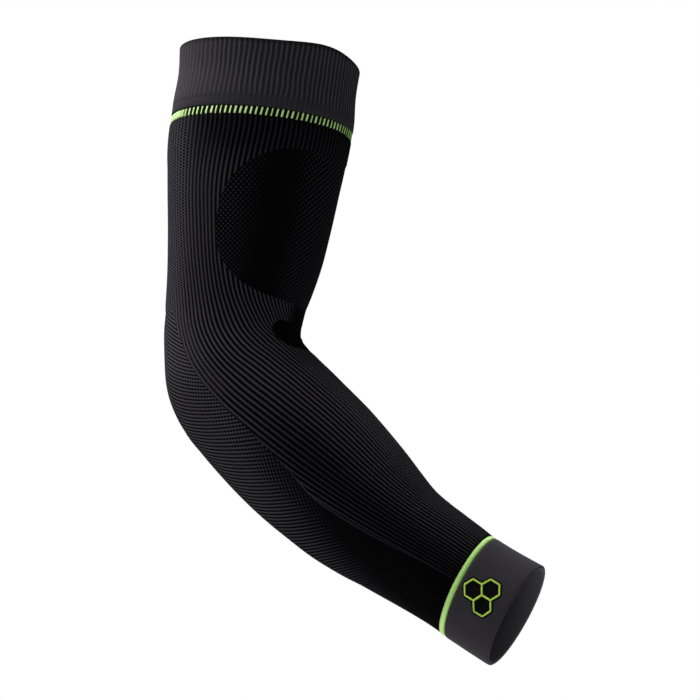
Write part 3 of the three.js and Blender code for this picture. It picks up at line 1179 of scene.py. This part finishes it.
@dataclass
class KnitBody(KnittedTube):
    """Main tube: ribs that are modelled, and panels of dots, courses and plain knit."""

    name: str = "knit_body_cloth"
    node: str = "knit_body"
    slot: str = "black_knit"
    wall: float = 1.4
    rib_height: float = 0.42
    row_spacing: float = 2.3
    elbow_spacing: float = 1.7
    elbow_middle: float = 170.0
    end_rounding: float = 0.4
    inner_points: int = 128
    inner_rings: int = 56
    back_panel_start: float = 146.0
    # Share of plating yarn down the arm, on the ribs and on the back panel's courses.
    rib_yarn: Curve = Curve({
        42: 0.1, 46: 0.34, 70: 0.42, 110: 0.46, 140: 0.48, 160: 0.62, 190: 0.57, 230: 0.5, 290: 0.45, 360: 0.3,
    })  # fmt: skip
    course_yarn: Curve = Curve({150: 0.68, 190: 0.66, 240: 0.57, 300: 0.46, 325: 0.28, 350: 0.06})
    # Angle in front of which the courses have next to none, and the degrees over which it comes in.
    course_edge: Curve = Curve({205: 60, 240: 82, 270: 96, 300: 116, 325: 132, 345: 146, 360: 158})
    course_fade: float = 55.0
    # The upper panel's dots fade out toward its middle line.
    dot_yarn: float = 0.29
    dot_middle: float = 55.0

    def panels(self, ring: Ring) -> np.ndarray:
        """Distance inside the upper, elbow and back panels at each point of a ring.

        Args:
            ring: The ring.

        Returns:
            Signed distances in millimetres, a column for each panel.
        """
        pattern = self.pattern
        panels = (pattern.upper_panel, pattern.elbow_panel, pattern.back_panel)
        return np.stack([panel.depth(ring.folded, ring.down) for panel in panels], 1)

    def rib_tone(self, folded: np.ndarray, s: np.ndarray, beside: np.ndarray) -> np.ndarray:
        """Share of plating yarn on the ribs.

        It is scant above the upper panel, fullest at the elbow, and low again along the middle of the
        forearm. The rib along the back panel is the fullest.

        Args:
            folded: Angles from the front line, 0 to 180.
            s: Distances down the arm.
            beside: Distance inside the back panel.

        Returns:
            Shares from 0 to 1 and a little more.
        """
        middle = np.exp(-(((folded - 84) / 24) ** 2)) * ease(s, 190, 262)
        above = ease(s, 76, 54) * ease(folded, 138, 96)
        front = ease(folded, 80, 58) * ease(s, 150, 190)
        back = ease(folded, 108, 135) * ease(s, 165, 140)
        crook = ease(folded, 24, 11) * ease(s, 124, 138) * ease(s, 160, 150)
        seam = ease(beside, -1.6, -0.8) * ease(s, 236, 268)
        tone = self.rib_yarn(s) * (1 - 0.6 * middle) * (1 - 0.58 * above) * (1 + 0.12 * front)
        return tone * (1 + 0.3 * back) * (1 - 0.85 * crook) * (1 + 0.15 * seam)

    def beads(self, folded: np.ndarray, s: np.ndarray, beside: np.ndarray) -> np.ndarray:
        """How far the grooves between ribs are beaded.

        They are on the back of the upper arm, along the top of the back panel, and a little on the
        front of the forearm just past the bend.

        Args:
            folded: Angles from the front line, 0 to 180.
            s: Distances down the arm.
            beside: Distance inside the back panel.

        Returns:
            Shares from 0 to 1.
        """
        upper = 0.3 * ease(folded, 88, 106) * ease(s, 44, 60) + 0.7 * ease(folded, 112, 129)
        panel = 0.4 * ease(beside, -12, -6) * ease(s, 130, 160) * ease(s, 202, 188)
        return upper * ease(s, 172, 130) + panel + 0.6 * ease(folded, 42, 20) * ease(s, 195, 215)

    def courses(self, folded: np.ndarray, s: np.ndarray) -> tuple[np.ndarray, ...]:
        """Fields of the back panel, whose courses are whole at the elbow and dotted down the arm.

        Args:
            folded: Angles from the front line, 0 to 180.
            s: Distances down the arm.

        Returns:
            Two phases, how dotted the courses are, their share of plating yarn, and the height at
            which it starts to show.
        """
        first, second = self.pattern.back_cells(folded, s)
        dotted = ease(s, 152, 172) * (0.3 + 0.58 * ease(folded, 154, 124))
        dotted = dotted + 0.5 * ease(s, 225, 262) * ease(folded, 124, 106)
        level = -0.5 + 0.1 * ease(s, 170, 195) + 0.3 * ease(s, 235, 285)
        shown = 0.07 + 0.93 * ease((folded - self.course_edge(s)) / self.course_fade, 0, 1)
        tone = self.course_yarn(s) * shown * (1 - 0.25 * ease(folded, 146, 160))
        return first, second, dotted, tone, level

    def dots(self, folded: np.ndarray, s: np.ndarray) -> tuple[np.ndarray, ...]:
        """Fields of the upper panel, in the order of those of the back panel.

        Args:
            folded: Angles from the front line, 0 to 180.
            s: Distances down the arm.

        Returns:
            Two phases, how dotted the cells are, their share of plating yarn, and its level.
        """
        first, second = self.pattern.upper_cells(folded, s)
        tone = self.dot_yarn * ease(np.abs(folded - self.dot_middle), 2, 34)
        return first, second, np.ones_like(s), tone, np.full_like(s, 0.3)

    def rings(self) -> list[Ring]:
        """The loop of rings: ribbed outside, rounded ends and a plain inside.

        Returns:
            The rings, closer together round the elbow.
        """
        flow, rounding = self.pattern.flow, self.end_rounding
        start, end = self.form.knit_start, self.form.knit_end
        stops = [start, start + rounding]
        while stops[-1] < end - 2.6:
            near = math.exp(-(((stops[-1] - self.elbow_middle) / 22) ** 2))
            stops.append(stops[-1] + self.row_spacing + (self.elbow_spacing - self.row_spacing) * near)
        stops += [end - rounding, end]
        rings = []
        for s in stops:
            edge = 1 - min((s - start) / rounding, (end - s) / rounding, 1)
            rings.append(Ring.along_ribs(flow, s, -0.35 * edge, Wall.OUTER, 1 - edge))
        for s in np.linspace(end, start, self.inner_rings):
            rings.append(Ring.even(flow, s, -self.wall, Wall.INNER, self.inner_points))
        return rings

    def relief(self, ring: Ring) -> np.ndarray:
        """Height of the ribs, none inside the panels.

        Args:
            ring: The ring.

        Returns:
            Heights in millimetres.
        """
        crest = 0.5 + 0.5 * np.cos(2 * np.pi * ring.rib)
        depth = self.panels(ring).max(1)
        return ring.relief * self.rib_height * (crest**0.8 * ease(-depth, -0.2, 1.6) - 0.35)

    def zones(self, ring: Ring) -> dict[str, np.ndarray]:
        """Stitch phases, panel distances and how much plating yarn shows.

        Args:
            ring: The ring.

        Returns:
            The fields knit_cells, knit_panels and knit_tone.
        """
        folded, s = ring.folded, ring.down
        upper, elbow, back = self.panels(ring).T
        cells = self.courses if ring.s > self.back_panel_start else self.dots
        first, second, dotted, cell_tone, level = cells(folded, s)
        tone = np.stack([self.rib_tone(folded, s, back), cell_tone, level], 1)
        panels = np.stack([np.maximum(upper, back), elbow, self.beads(folded, s, back)], 1)
        if ring.wall is Wall.INNER:
            # Inside there are ribs alone, and less of the plating yarn shows.
            panels, tone = panels * 0 + (-5.0, -5.0, 0.0), tone * (0.4, 0.4, 1.0)
        cells = np.stack([first, second, dotted], 1)
        return {"knit_cells": cells, "knit_panels": panels, "knit_tone": tone}


@dataclass
class UpperCuff(KnittedTube):
    """Doubled ribbed cuff with a rolled rim and a turned hem beside the lime band."""

    name: str = "upper_cuff_cloth"
    node: str = "upper_cuff"
    slot: str = "charcoal_knit"
    wall: float = 2.2
    proud: float = 0.3
    rib_height: float = 0.24
    hem: float = 5.2

    @property
    def hem_line(self) -> float:
        """Distance down the arm at which the hem is linked on."""
        return self.form.upper_cuff - self.hem

    def rings(self) -> list[Ring]:
        """The loop of rings: outside, hem end, inside, and a rolled rim.

        Returns:
            The rings, all with their points on the ribs.
        """
        end, line, rim, proud = self.form.upper_cuff, self.hem_line, self.wall / 2, self.proud
        rows: list[tuple[float, float, Wall, float]] = []
        for turn in np.linspace(0, 90, 7)[1:]:
            out, height = self.rolled(turn)
            rows.append((rim - out, height, Wall.OUTER, turn / 90))
        rows += [(s, proud, Wall.OUTER, 1.0) for s in (3.0, 6, 10, 14, 18, 22, 26, 30, line - 0.9)]
        # The cloth dips where the hem is linked on, and rounds off at its end.
        rows += [(line - 0.2, proud - 0.05, Wall.OUTER, 0.6), (line, proud - 0.12, Wall.OUTER, 0.4)]
        rows += [(line + 0.5, proud - 0.04, Wall.OUTER, 0.4), (line + 1.2, proud, Wall.OUTER, 0.4)]
        rows += [(end - 1.2, proud, Wall.OUTER, 0.25), (end - 0.4, proud - 0.1, Wall.OUTER, 0.1)]
        rows += [(end, proud - 0.5, Wall.OUTER, 0.0), (end, proud - self.wall + 0.3, Wall.INNER, 0.0)]
        rows += [(s, proud - self.wall, Wall.INNER, 0.5) for s in (end - 0.4, 30, 22, 14, 7, 3)]
        for turn in np.linspace(-90, 0, 7):
            out, height = self.rolled(turn)
            rows.append((rim - out, height, Wall.INNER, -turn / 180))
        return [Ring.along_ribs(self.pattern.flow, *row) for row in rows]

    def relief(self, ring: Ring) -> np.ndarray:
        """Height of the cuff's shallow ribs.

        Args:
            ring: The ring.

        Returns:
            Heights in millimetres.
        """
        crest = np.abs(np.cos(np.pi * ring.rib)) ** 0.6
        height = ring.relief * self.rib_height * (crest - 0.8)
        return height if ring.wall is Wall.OUTER else -height

    def zones(self, ring: Ring) -> dict[str, np.ndarray]:
        """Where the grooves and the hem's stitched line show.

        Args:
            ring: The ring.

        Returns:
            The field cuff_zones: how ribbed the face is, the hem line, and the painted shade of the rolled rim.
        """
        folded, s, line = ring.folded, ring.down, self.hem_line
        lower = ease(s, 12, line) * ease(folded, 70, 110)
        ribbed = (0.3 + 0.7 * ease(line + 0.5 - s, 0, 3.5)) * (1 - 0.8 * ease(folded, 88, 142))
        ribbed = ribbed * (1 - 0.45 * lower)
        hem = np.exp(-(((s - line) / 0.9) ** 2)) * (0.1 + 0.9 * ease(folded, 105, 60))
        # Painted shade on the rolled rim, darkest at its very edge, and a little less on the inner wall.
        ends = ease(s, 0.3, 2.2)
        if ring.wall is Wall.INNER:
            hem, ends = hem * 0, ends * 0.7
        return {"cuff_zones": np.stack([ribbed, hem, ends], 1)}


@dataclass
class UpperBand(KnittedTube):
    """Lime band below the upper cuff: raised bars at the rib pitch, solid at the back of the arm."""

    name: str = "upper_band_cloth"
    node: str = "upper_accent_band"
    slot: str = "lime_knit"
    wall: float = 1.6
    bar_height: float = 0.35
    slant: float = 0.05
    # Painted light on the bars round the arm: paler on its outer side, darker on the front and at the back.
    painted_side_light: Curve = Curve({10: -0.15, 35: 0.0, 60: 0.25, 90: 0.4, 120: 0.25, 134: 0.05, 148: -0.3})

    @property
    def ends(self) -> tuple[float, float]:
        """Distances down the arm at which the band begins and ends."""
        start = self.form.upper_cuff + self.form.clearance
        return start, start + self.form.upper_band + self.form.band_wider

    def rings(self) -> list[Ring]:
        """The loop of rings, with softly rounded edges.

        Returns:
            The rings, with their points on the ribs.
        """
        flow = self.pattern.flow
        start, end = self.ends
        rows = [(start, -0.3, 0.3), (start + 0.35, -0.02, 1), (start + 1.3, 0, 1), (end - 1.3, 0, 1)]
        rows += [(end - 0.35, -0.02, 1), (end, -0.3, 0.3)]
        outer = [Ring.along_ribs(flow, s, proud, Wall.OUTER, relief) for s, proud, relief in rows]
        inner = [Ring.along_ribs(flow, s, -self.wall, Wall.INNER, 0) for s in (end, start)]
        return outer + inner

    def closed(self, ring: Ring) -> np.ndarray:
        """Share of the gaps between bars that is filled: none on the sides, all at the back."""
        return ease(ring.folded, 126, 139)

    def bars(self, ring: Ring) -> np.ndarray:
        """Count of the bars, which lean a little."""
        return ring.rib - self.slant * (ring.s - self.form.upper_cuff)

    def relief(self, ring: Ring) -> np.ndarray:
        """Height of the bars over the ground between them."""
        bar = ease(np.cos(2 * np.pi * self.bars(ring)), -0.2, 0.6)
        return ring.relief * self.bar_height * (np.maximum(bar, self.closed(ring)) - 0.9)

    def zones(self, ring: Ring) -> dict[str, np.ndarray]:
        """How far the bars close up, the dark edge rows, and the painted light round the arm.

        Args:
            ring: The ring.

        Returns:
            The fields band_zones and band_side_light.
        """
        start, end = self.ends
        inset = np.minimum(ring.down - start, end - ring.down)
        edge = 0.15 + 0.85 * ease(inset, 0.0, 0.7)
        zones = np.stack([self.closed(ring), edge, self.bars(ring)], 1)
        return {"band_zones": zones, "band_side_light": np.stack([self.painted_side_light(ring.folded)] * 3, 1)}


@dataclass
class WristBand(KnittedTube):
    """Solid lime rows beside the wrist cuff, with a small scallop at every stitch."""

    name: str = "wrist_band_cloth"
    node: str = "wrist_accent_band"
    slot: str = "lime_knit"
    wall: float = 1.6
    proud: float = 0.1
    stitches: int = 140
    points_per_stitch: int = 6
    scallop: float = 0.28
    row_spacing: float = 0.8

    @property
    def ends(self) -> tuple[float, float]:
        """Distances down the arm at which the band begins and ends."""
        end = self.form.wrist_seam - self.form.clearance
        return end - self.form.wrist_band, end

    def rings(self) -> list[Ring]:
        """The loop of rings, with rounded scalloped edges.

        Returns:
            The rings, evenly spaced all round.
        """
        flow, (start, end) = self.pattern.flow, self.ends
        count = self.stitches * self.points_per_stitch
        rows = [(start, -0.45), (start + 0.25, -0.1), (start + 0.9, 0.06), ((start + end) / 2, 0.1)]
        rows += [(end - 0.9, 0.06), (end - 0.25, -0.1), (end, -0.45)]
        outer = [Ring.even(flow, s, self.proud + proud, Wall.OUTER, count) for s, proud in rows]
        inner = [Ring.even(flow, s, self.proud - self.wall, Wall.INNER, count) for s in (end, start)]
        return outer + inner

    def mesh(self) -> bpy.types.Object:
        """Builds the band and then scallops its two edges, half a stitch apart.

        Returns:
            The piece.
        """
        piece = super().mesh()
        normals = np.array([v.normal for v in piece.data.vertices])
        points = np.array([v.co for v in piece.data.vertices]) / MM
        first = 0
        for ring in self.rings():
            count = len(ring.rib)
            edge = 1.0 if ring.wall is Wall.OUTER and ring.proud < self.proud else 0.0
            phase = np.arange(count) / count * self.stitches + (0.5 if ring.s > self.form.wrist_seam - 2 else 0)
            dip = edge * self.scallop * (0.5 - 0.5 * np.cos(2 * np.pi * phase))
            points[first : first + count] -= normals[first : first + count] * dip[:, None]
            first += count
        piece.data.vertices.foreach_set("co", (points * MM).astype(np.float32).ravel())
        piece.data.update()
        return piece

    def zones(self, ring: Ring) -> dict[str, np.ndarray]:
        """Stitch and row counts, the shaded edges, and a painted sheen toward the sides of the arm.

        Args:
            ring: The ring.

        Returns:
            The field band_zones.
        """
        end = self.ends[1]
        stitch = ring.degrees / 360 * self.stitches
        row = (end - ring.down) / self.row_spacing
        from_middle = np.abs(ring.down - (end - self.form.wrist_band / 2))
        # Painted shade toward the band's edges, and a painted sheen that pales it away from the outer side of
        # the arm.
        edge = 0.5 * ease(from_middle, 1.0, 1.6) - 0.4 * ease(np.abs(ring.folded - 85), 20, 65)
        return {"band_zones": np.stack([stitch, row, edge], 1)}


@dataclass
class WristCuff(KnittedTube):
    """Smooth doubled cuff at the wrist, with a folded rim."""

    name: str = "wrist_cuff_cloth"
    node: str = "wrist_cuff"
    slot: str = "charcoal_knit"
    wall: float = 2.2
    proud: float = 0.3
    points_round: int = 288

    def rings(self) -> list[Ring]:
        """The loop of rings: outside, rolled rim, inside and the seam end.

        Returns:
            The rings, evenly spaced all round.
        """
        start, end, rim = self.form.wrist_seam, self.form.length, self.wall / 2
        rows = [(start, self.proud - 0.5, Wall.OUTER), (start + 0.3, self.proud - 0.1, Wall.OUTER)]
        rows += [(start + 0.9, self.proud + 0.02, Wall.OUTER), (start + 2, self.proud, Wall.OUTER)]
        rows += [(s, self.proud, Wall.OUTER) for s in np.linspace(start + 4.5, end - 3, 9)]
        for turn in np.linspace(90, -90, 13):
            out, height = self.rolled(turn)
            rows.append((end - rim + out, height, Wall.OUTER if turn >= 0 else Wall.INNER))
        rows += [(s, self.proud - self.wall, Wall.INNER) for s in np.linspace(end - 3, start + 0.4, 8)]
        rows += [(start, self.proud - self.wall + 0.3, Wall.INNER)]
        return [Ring.even(self.pattern.flow, *row, self.points_round) for row in rows]

    def zones(self, ring: Ring) -> dict[str, np.ndarray]:
        """Whether a point is inside the cuff, and how far in from the rim, which sets the painted shade inside.

        Args:
            ring: The ring.

        Returns:
            The field cuff_inside_shade.
        """
        inside = float(ring.wall is Wall.INNER)
        # How far in from the rim: sets the painted shade inside the cuff.
        deep = float(ease(self.form.length - ring.s, 2, 24))
        return {"cuff_inside_shade": np.tile((inside, deep, 0.0), (len(ring.rib), 1))}


@dataclass
class Emblem:
    """Generic honeycomb of three cells in raised satin stitch on the wrist cuff."""

    form: ArmForm
    side: float = 5.4
    line: float = 1.1
    height: float = 0.6
    border: float = 2.8
    border_height: float = 0.18
    from_rim: float = 15.6
    angle: float = math.radians(88.0)
    thread: float = 0.42
    base: float = 0.34
    across: int = 9

    def place(self, flat: np.ndarray, proud: np.ndarray | float) -> np.ndarray:
        """Wraps points of the emblem's plane on the cuff.

        Args:
            flat: Pairs of a distance round the cuff and a distance up the arm.
            proud: How far each point stands off the form.

        Returns:
            Points in millimetres.
        """
        s = self.form.length - self.from_rim - flat[:, 1]
        radius = self.form.column("half", s)
        return self.form.point(s, self.angle - flat[:, 0] / radius, proud)

    def corner(self, length: float, degrees: float) -> np.ndarray:
        """Point of the plane at a distance and direction from the middle."""
        return np.array([length * math.cos(math.radians(degrees)), length * math.sin(math.radians(degrees))])

    def outline(self) -> np.ndarray:
        """Outer corners of the three cells, counter-clockwise.

        Returns:
            Points of the emblem's plane, a row for each.
        """
        corners = []
        for towards in (90, 210, 330):
            centre = self.corner(self.side, towards)
            corners += [centre + self.corner(self.side, towards + turn) for turn in (-120, -60, 0, 60)]
        return np.array(corners)

    def ribbon(
        self, path: np.ndarray, closed: bool, wide: float, high: float
    ) -> tuple[np.ndarray, list[tuple[int, ...]], np.ndarray]:
        """Half-round satin-stitched line along a path.

        Args:
            path: Corners of the path in the emblem's plane.
            closed: Whether the path joins up.
            wide: Width of the line.
            high: Height of the line.

        Returns:
            Points, faces and stitch fields.
        """
        loop = np.vstack([path, path[:1]]) if closed else path
        lengths = np.linalg.norm(np.diff(loop, axis=0), axis=1)
        total = lengths.sum()
        steps = int(round(total / self.thread)) * 4
        at = np.linspace(0, total, steps, endpoint=not closed)
        known = np.concatenate([[0], np.cumsum(lengths)])
        fine = np.stack([np.interp(at, known, loop[:, k]) for k in (0, 1)], 1)
        reach = 5
        if closed:
            soft = np.mean([np.roll(fine, k, axis=0) for k in range(-reach, reach + 1)], axis=0)
            ahead, behind = np.roll(soft, -1, axis=0), np.roll(soft, 1, axis=0)
        else:
            soft = fine
            ahead = np.vstack([soft[1:], 2 * soft[-1:] - soft[-2:-1]])
            behind = np.vstack([2 * soft[:1] - soft[1:2], soft[:-1]])
        along = ahead - behind
        along /= np.linalg.norm(along, axis=1)[:, None]
        side = np.stack([along[:, 1], -along[:, 0]], 1)
        u = np.linspace(-1, 1, self.across)
        rows = len(at)
        threads = at[:, None] / self.thread + 0.35 * u[None]
        groove = 0.5 + 0.5 * np.cos(2 * np.pi * threads)
        crown = np.sqrt(np.clip(1 - u**2, 0, 1))[None] * (high * (0.8 + 0.2 * groove))
        width = wide / 2 * (0.96 + 0.04 * groove)
        flat = soft[:, None] + side[:, None] * (u[None, :, None] * width[..., None])
        top = self.place(flat.reshape(-1, 2), self.base + crown.ravel() - 0.02)
        under = self.place(flat[:, [0, -1]].reshape(-1, 2), self.base - 0.12)
        n = self.across
        faces: list[tuple[int, ...]] = []
        for i in range(rows if closed else rows - 1):
            k = (i + 1) % rows
            faces += [(i * n + j, i * n + j + 1, k * n + j + 1, k * n + j) for j in range(n - 1)]
            a, b = rows * n + 2 * i, rows * n + 2 * k
            faces += [(i * n + n - 1, a + 1, b + 1, k * n + n - 1), (i * n, k * n, b, a), (a, b, b + 1, a + 1)]
        if not closed:
            last = rows - 1
            faces += [tuple(range(n - 1, -1, -1)) + (rows * n, rows * n + 1)]
            faces += [tuple(last * n + j for j in range(n)) + (rows * n + 2 * last + 1, rows * n + 2 * last)]
        stitch = np.stack([threads.ravel(), np.tile(u, rows), np.zeros(rows * n)], 1)
        stitch = np.vstack([stitch, np.zeros((2 * rows, 3))])
        return np.vstack([top, under]), faces, stitch

    def cell(self, towards: float) -> tuple[np.ndarray, list[tuple[int, ...]], np.ndarray]:
        """Flat black fill of one cell, just above the cuff.

        Args:
            towards: Direction of the cell from the emblem's middle, in degrees.

        Returns:
            Points, faces and stitch fields.
        """
        centre = self.corner(self.side, towards)
        rings = [0.02, 0.25, 0.5, 0.75, 1.0]
        flat, count = [], 48
        for share in rings:
            for k in range(count):
                turn = 360 / count * k
                reach = self.side * math.cos(math.pi / 6) / math.cos(math.radians((turn - 30) % 60 - 30))
                flat.append(centre + share * self.corner(reach, towards + turn + 30))
        flat = np.array(flat)
        lift = np.repeat([0.1, 0.1, 0.1, 0.09, 0.02], count)
        points = self.place(flat, self.base - 0.04 + lift)
        faces: list[tuple[int, ...]] = [tuple(range(count))]
        for ring in range(len(rings) - 1):
            for k in range(count):
                a, b = ring * count + k, ring * count + (k + 1) % count
                faces.append((a, a + count, b + count, b))
        stitch = np.stack([(flat[:, 1] + 0.2 * flat[:, 0]) / self.thread, flat[:, 0], flat[:, 1] * 0], 1)
        return points, faces, stitch

    def build(self, thread: bpy.types.Material, fill: bpy.types.Material) -> bpy.types.Object:
        """Builds, dresses and mounts the emblem.

        Args:
            thread: Finish of the raised lines.
            fill: Finish of the cells.

        Returns:
            The finished piece.
        """
        spokes = [np.array([[0.0, 0.0], self.corner(self.side, d)]) for d in (30, 150, 270)]
        parts = [(*self.ribbon(self.outline(), True, self.line, self.height), 0)]
        parts += [(*self.ribbon(spoke, False, self.line, self.height), 0) for spoke in spokes]
        parts += [(*self.ribbon(self.outline(), True, self.border, self.border_height), 1)]
        parts += [(*self.cell(towards), 1) for towards in (90, 210, 330)]
        points, faces, stitch, slots = [], [], [], []
        first = 0
        for part_points, part_faces, part_stitch, slot in parts:
            points.append(part_points)
            stitch.append(part_stitch)
            faces += [tuple(first + i for i in face) for face in part_faces]
            slots += [slot] * len(part_faces)
            first += len(part_points)
        piece = new_piece("emblem_stitching", np.vstack(points), faces, {"stitch": np.vstack(stitch)})
        piece.data.materials.append(thread)
        piece.data.materials.append(fill)
        piece.data.polygons.foreach_set("material_index", slots)
        mount(piece, "cuff_emblem")
        LOG.info("%s: %d faces", piece.name, len(piece.data.polygons))
        return piece


@dataclass(frozen=True)
class SoftLight:
    """Studio softbox, placed by direction from the sleeve."""

    name: str
    azimuth: float
    elevation: float
    distance: float
    width: float
    height: float
    power: float

    def build(self, target: Vector) -> bpy.types.Object:
        """Adds the light, facing the target.

        Args:
            target: Point that it faces, in metres.

        Returns:
            The light object.
        """
        back = direction(self.azimuth, self.elevation)
        data = bpy.data.lights.new(self.name, "AREA")
        data.shape = "RECTANGLE"
        data.size, data.size_y, data.energy = self.width, self.height, self.power
        light = bpy.data.objects.new(self.name, data)
        light.location = target + back * self.distance
        light.visible_camera = False
        light.rotation_euler = (-back).to_track_quat("-Z", "Y").to_euler()
        bpy.context.scene.collection.objects.link(light)
        return light


@dataclass
class Studio:
    """Pale light table, white surround, softboxes and the photograph's camera."""

    floor_z: float = -0.8
    floor_half: float = 12.0
    ambient: float = 0.2
    glow: float = 0.62
    azimuth: float = 17.0
    elevation: float = -7.7
    roll: float = 7.9
    lens: float = 135.0
    distance: float = 1.4365
    look: tuple[float, float, float] = (0.0703, 0.0, -0.1595)
    lights: tuple[SoftLight, ...] = (
        SoftLight("top_softbox", azimuth=-95, elevation=60, distance=0.9, width=0.8, height=0.8, power=25),
        SoftLight("left_softbox", azimuth=-85, elevation=12, distance=0.9, width=0.8, height=0.8, power=3),
    )

    def floor(self) -> bpy.types.Object:
        """Matt opal sheet, lit softly from below.

        Returns:
            The floor.
        """
        size, z = self.floor_half, self.floor_z
        corners = np.array([(-size, -size, z), (size, -size, z), (size, size, z), (-size, size, z)]) / MM
        floor = new_piece("studio_floor", corners, [(0, 1, 2, 3)], {})
        r = Recipe("matt_opal_acrylic")
        colour = r.blend(r.fuzz(3), Colour("#949493"), Colour("#90908f"))
        glow = {"Emission_Color": (1, 1, 1, 1), "Emission_Strength": self.glow}
        floor.data.materials.append(r.finish(colour, r.fuzz(60), 0.2, 0.9, Specular_IOR_Level=0.1, **glow))
        return floor

    def surround(self) -> None:
        """White surround whose light on the sleeve is held down, so that the softboxes model it."""
        world = bpy.data.worlds.new("white_surround")
        world.use_nodes = True
        tree = world.node_tree
        tree.nodes.clear()
        shown = add_node(tree, "Background", {0: (1, 1, 1, 1), 1: 1.0})
        felt = add_node(tree, "Background", {0: (1, 1, 1, 1), 1: self.ambient})
        path = add_node(tree, "LightPath")
        inputs = {0: path.outputs["Is Camera Ray"], 1: felt.outputs[0], 2: shown.outputs[0]}
        mixed = add_node(tree, "MixShader", inputs)
        add_node(tree, "OutputWorld", {0: mixed.outputs[0]})
        bpy.context.scene.world = world

    def camera(self) -> bpy.types.Object:
        """Camera at the photograph's angle, with its roll.

        Returns:
            The camera object.
        """
        back, roll = direction(self.azimuth, self.elevation), math.radians(self.roll)
        right = Vector((0, 0, 1)).cross(back).normalized()
        up = back.cross(right)
        rolled_right = right * math.cos(roll) + up * math.sin(roll)
        rolled_up = up * math.cos(roll) - right * math.sin(roll)
        data = bpy.data.cameras.new("photo_camera")
        data.lens, data.sensor_width = self.lens, 36.0
        data.clip_start, data.clip_end = 0.05, 60.0
        camera = bpy.data.objects.new("photo_camera", data)
        turned = Matrix((rolled_right, rolled_up, back)).transposed().to_4x4()
        camera.matrix_world = Matrix.Translation(Vector(self.look) + back * self.distance) @ turned
        bpy.context.scene.collection.objects.link(camera)
        bpy.context.scene.camera = camera
        return camera

    def build(self) -> None:
        """Sets up the whole studio."""
        self.camera()
        self.floor()
        self.surround()
        for light in self.lights:
            light.build(Vector(self.look))
        bpy.context.scene.view_settings.view_transform = "Standard"
        LOG.info("studio ready")


def main() -> None:
    """Builds the studio and every piece of the sleeve."""
    logging.basicConfig(level=logging.INFO, format="%(name)s %(message)s", stream=sys.stdout)
    Studio().build()
    form = ArmForm()
    pattern = KnitPattern(form, RibFlow(form=form))
    UpperCuff(pattern).build(CharcoalRibKnit().build())
    UpperBand(pattern).build(LimeBarKnit().build())
    KnitBody(pattern).build(ZonedKnit().build())
    WristBand(pattern).build(LimeLineKnit().build())
    WristCuff(pattern).build(CharcoalJersey().build())
    Emblem(form).build(SatinThread().build(), BlackFillStitch().build())


if __name__ == "__main__":
    main()
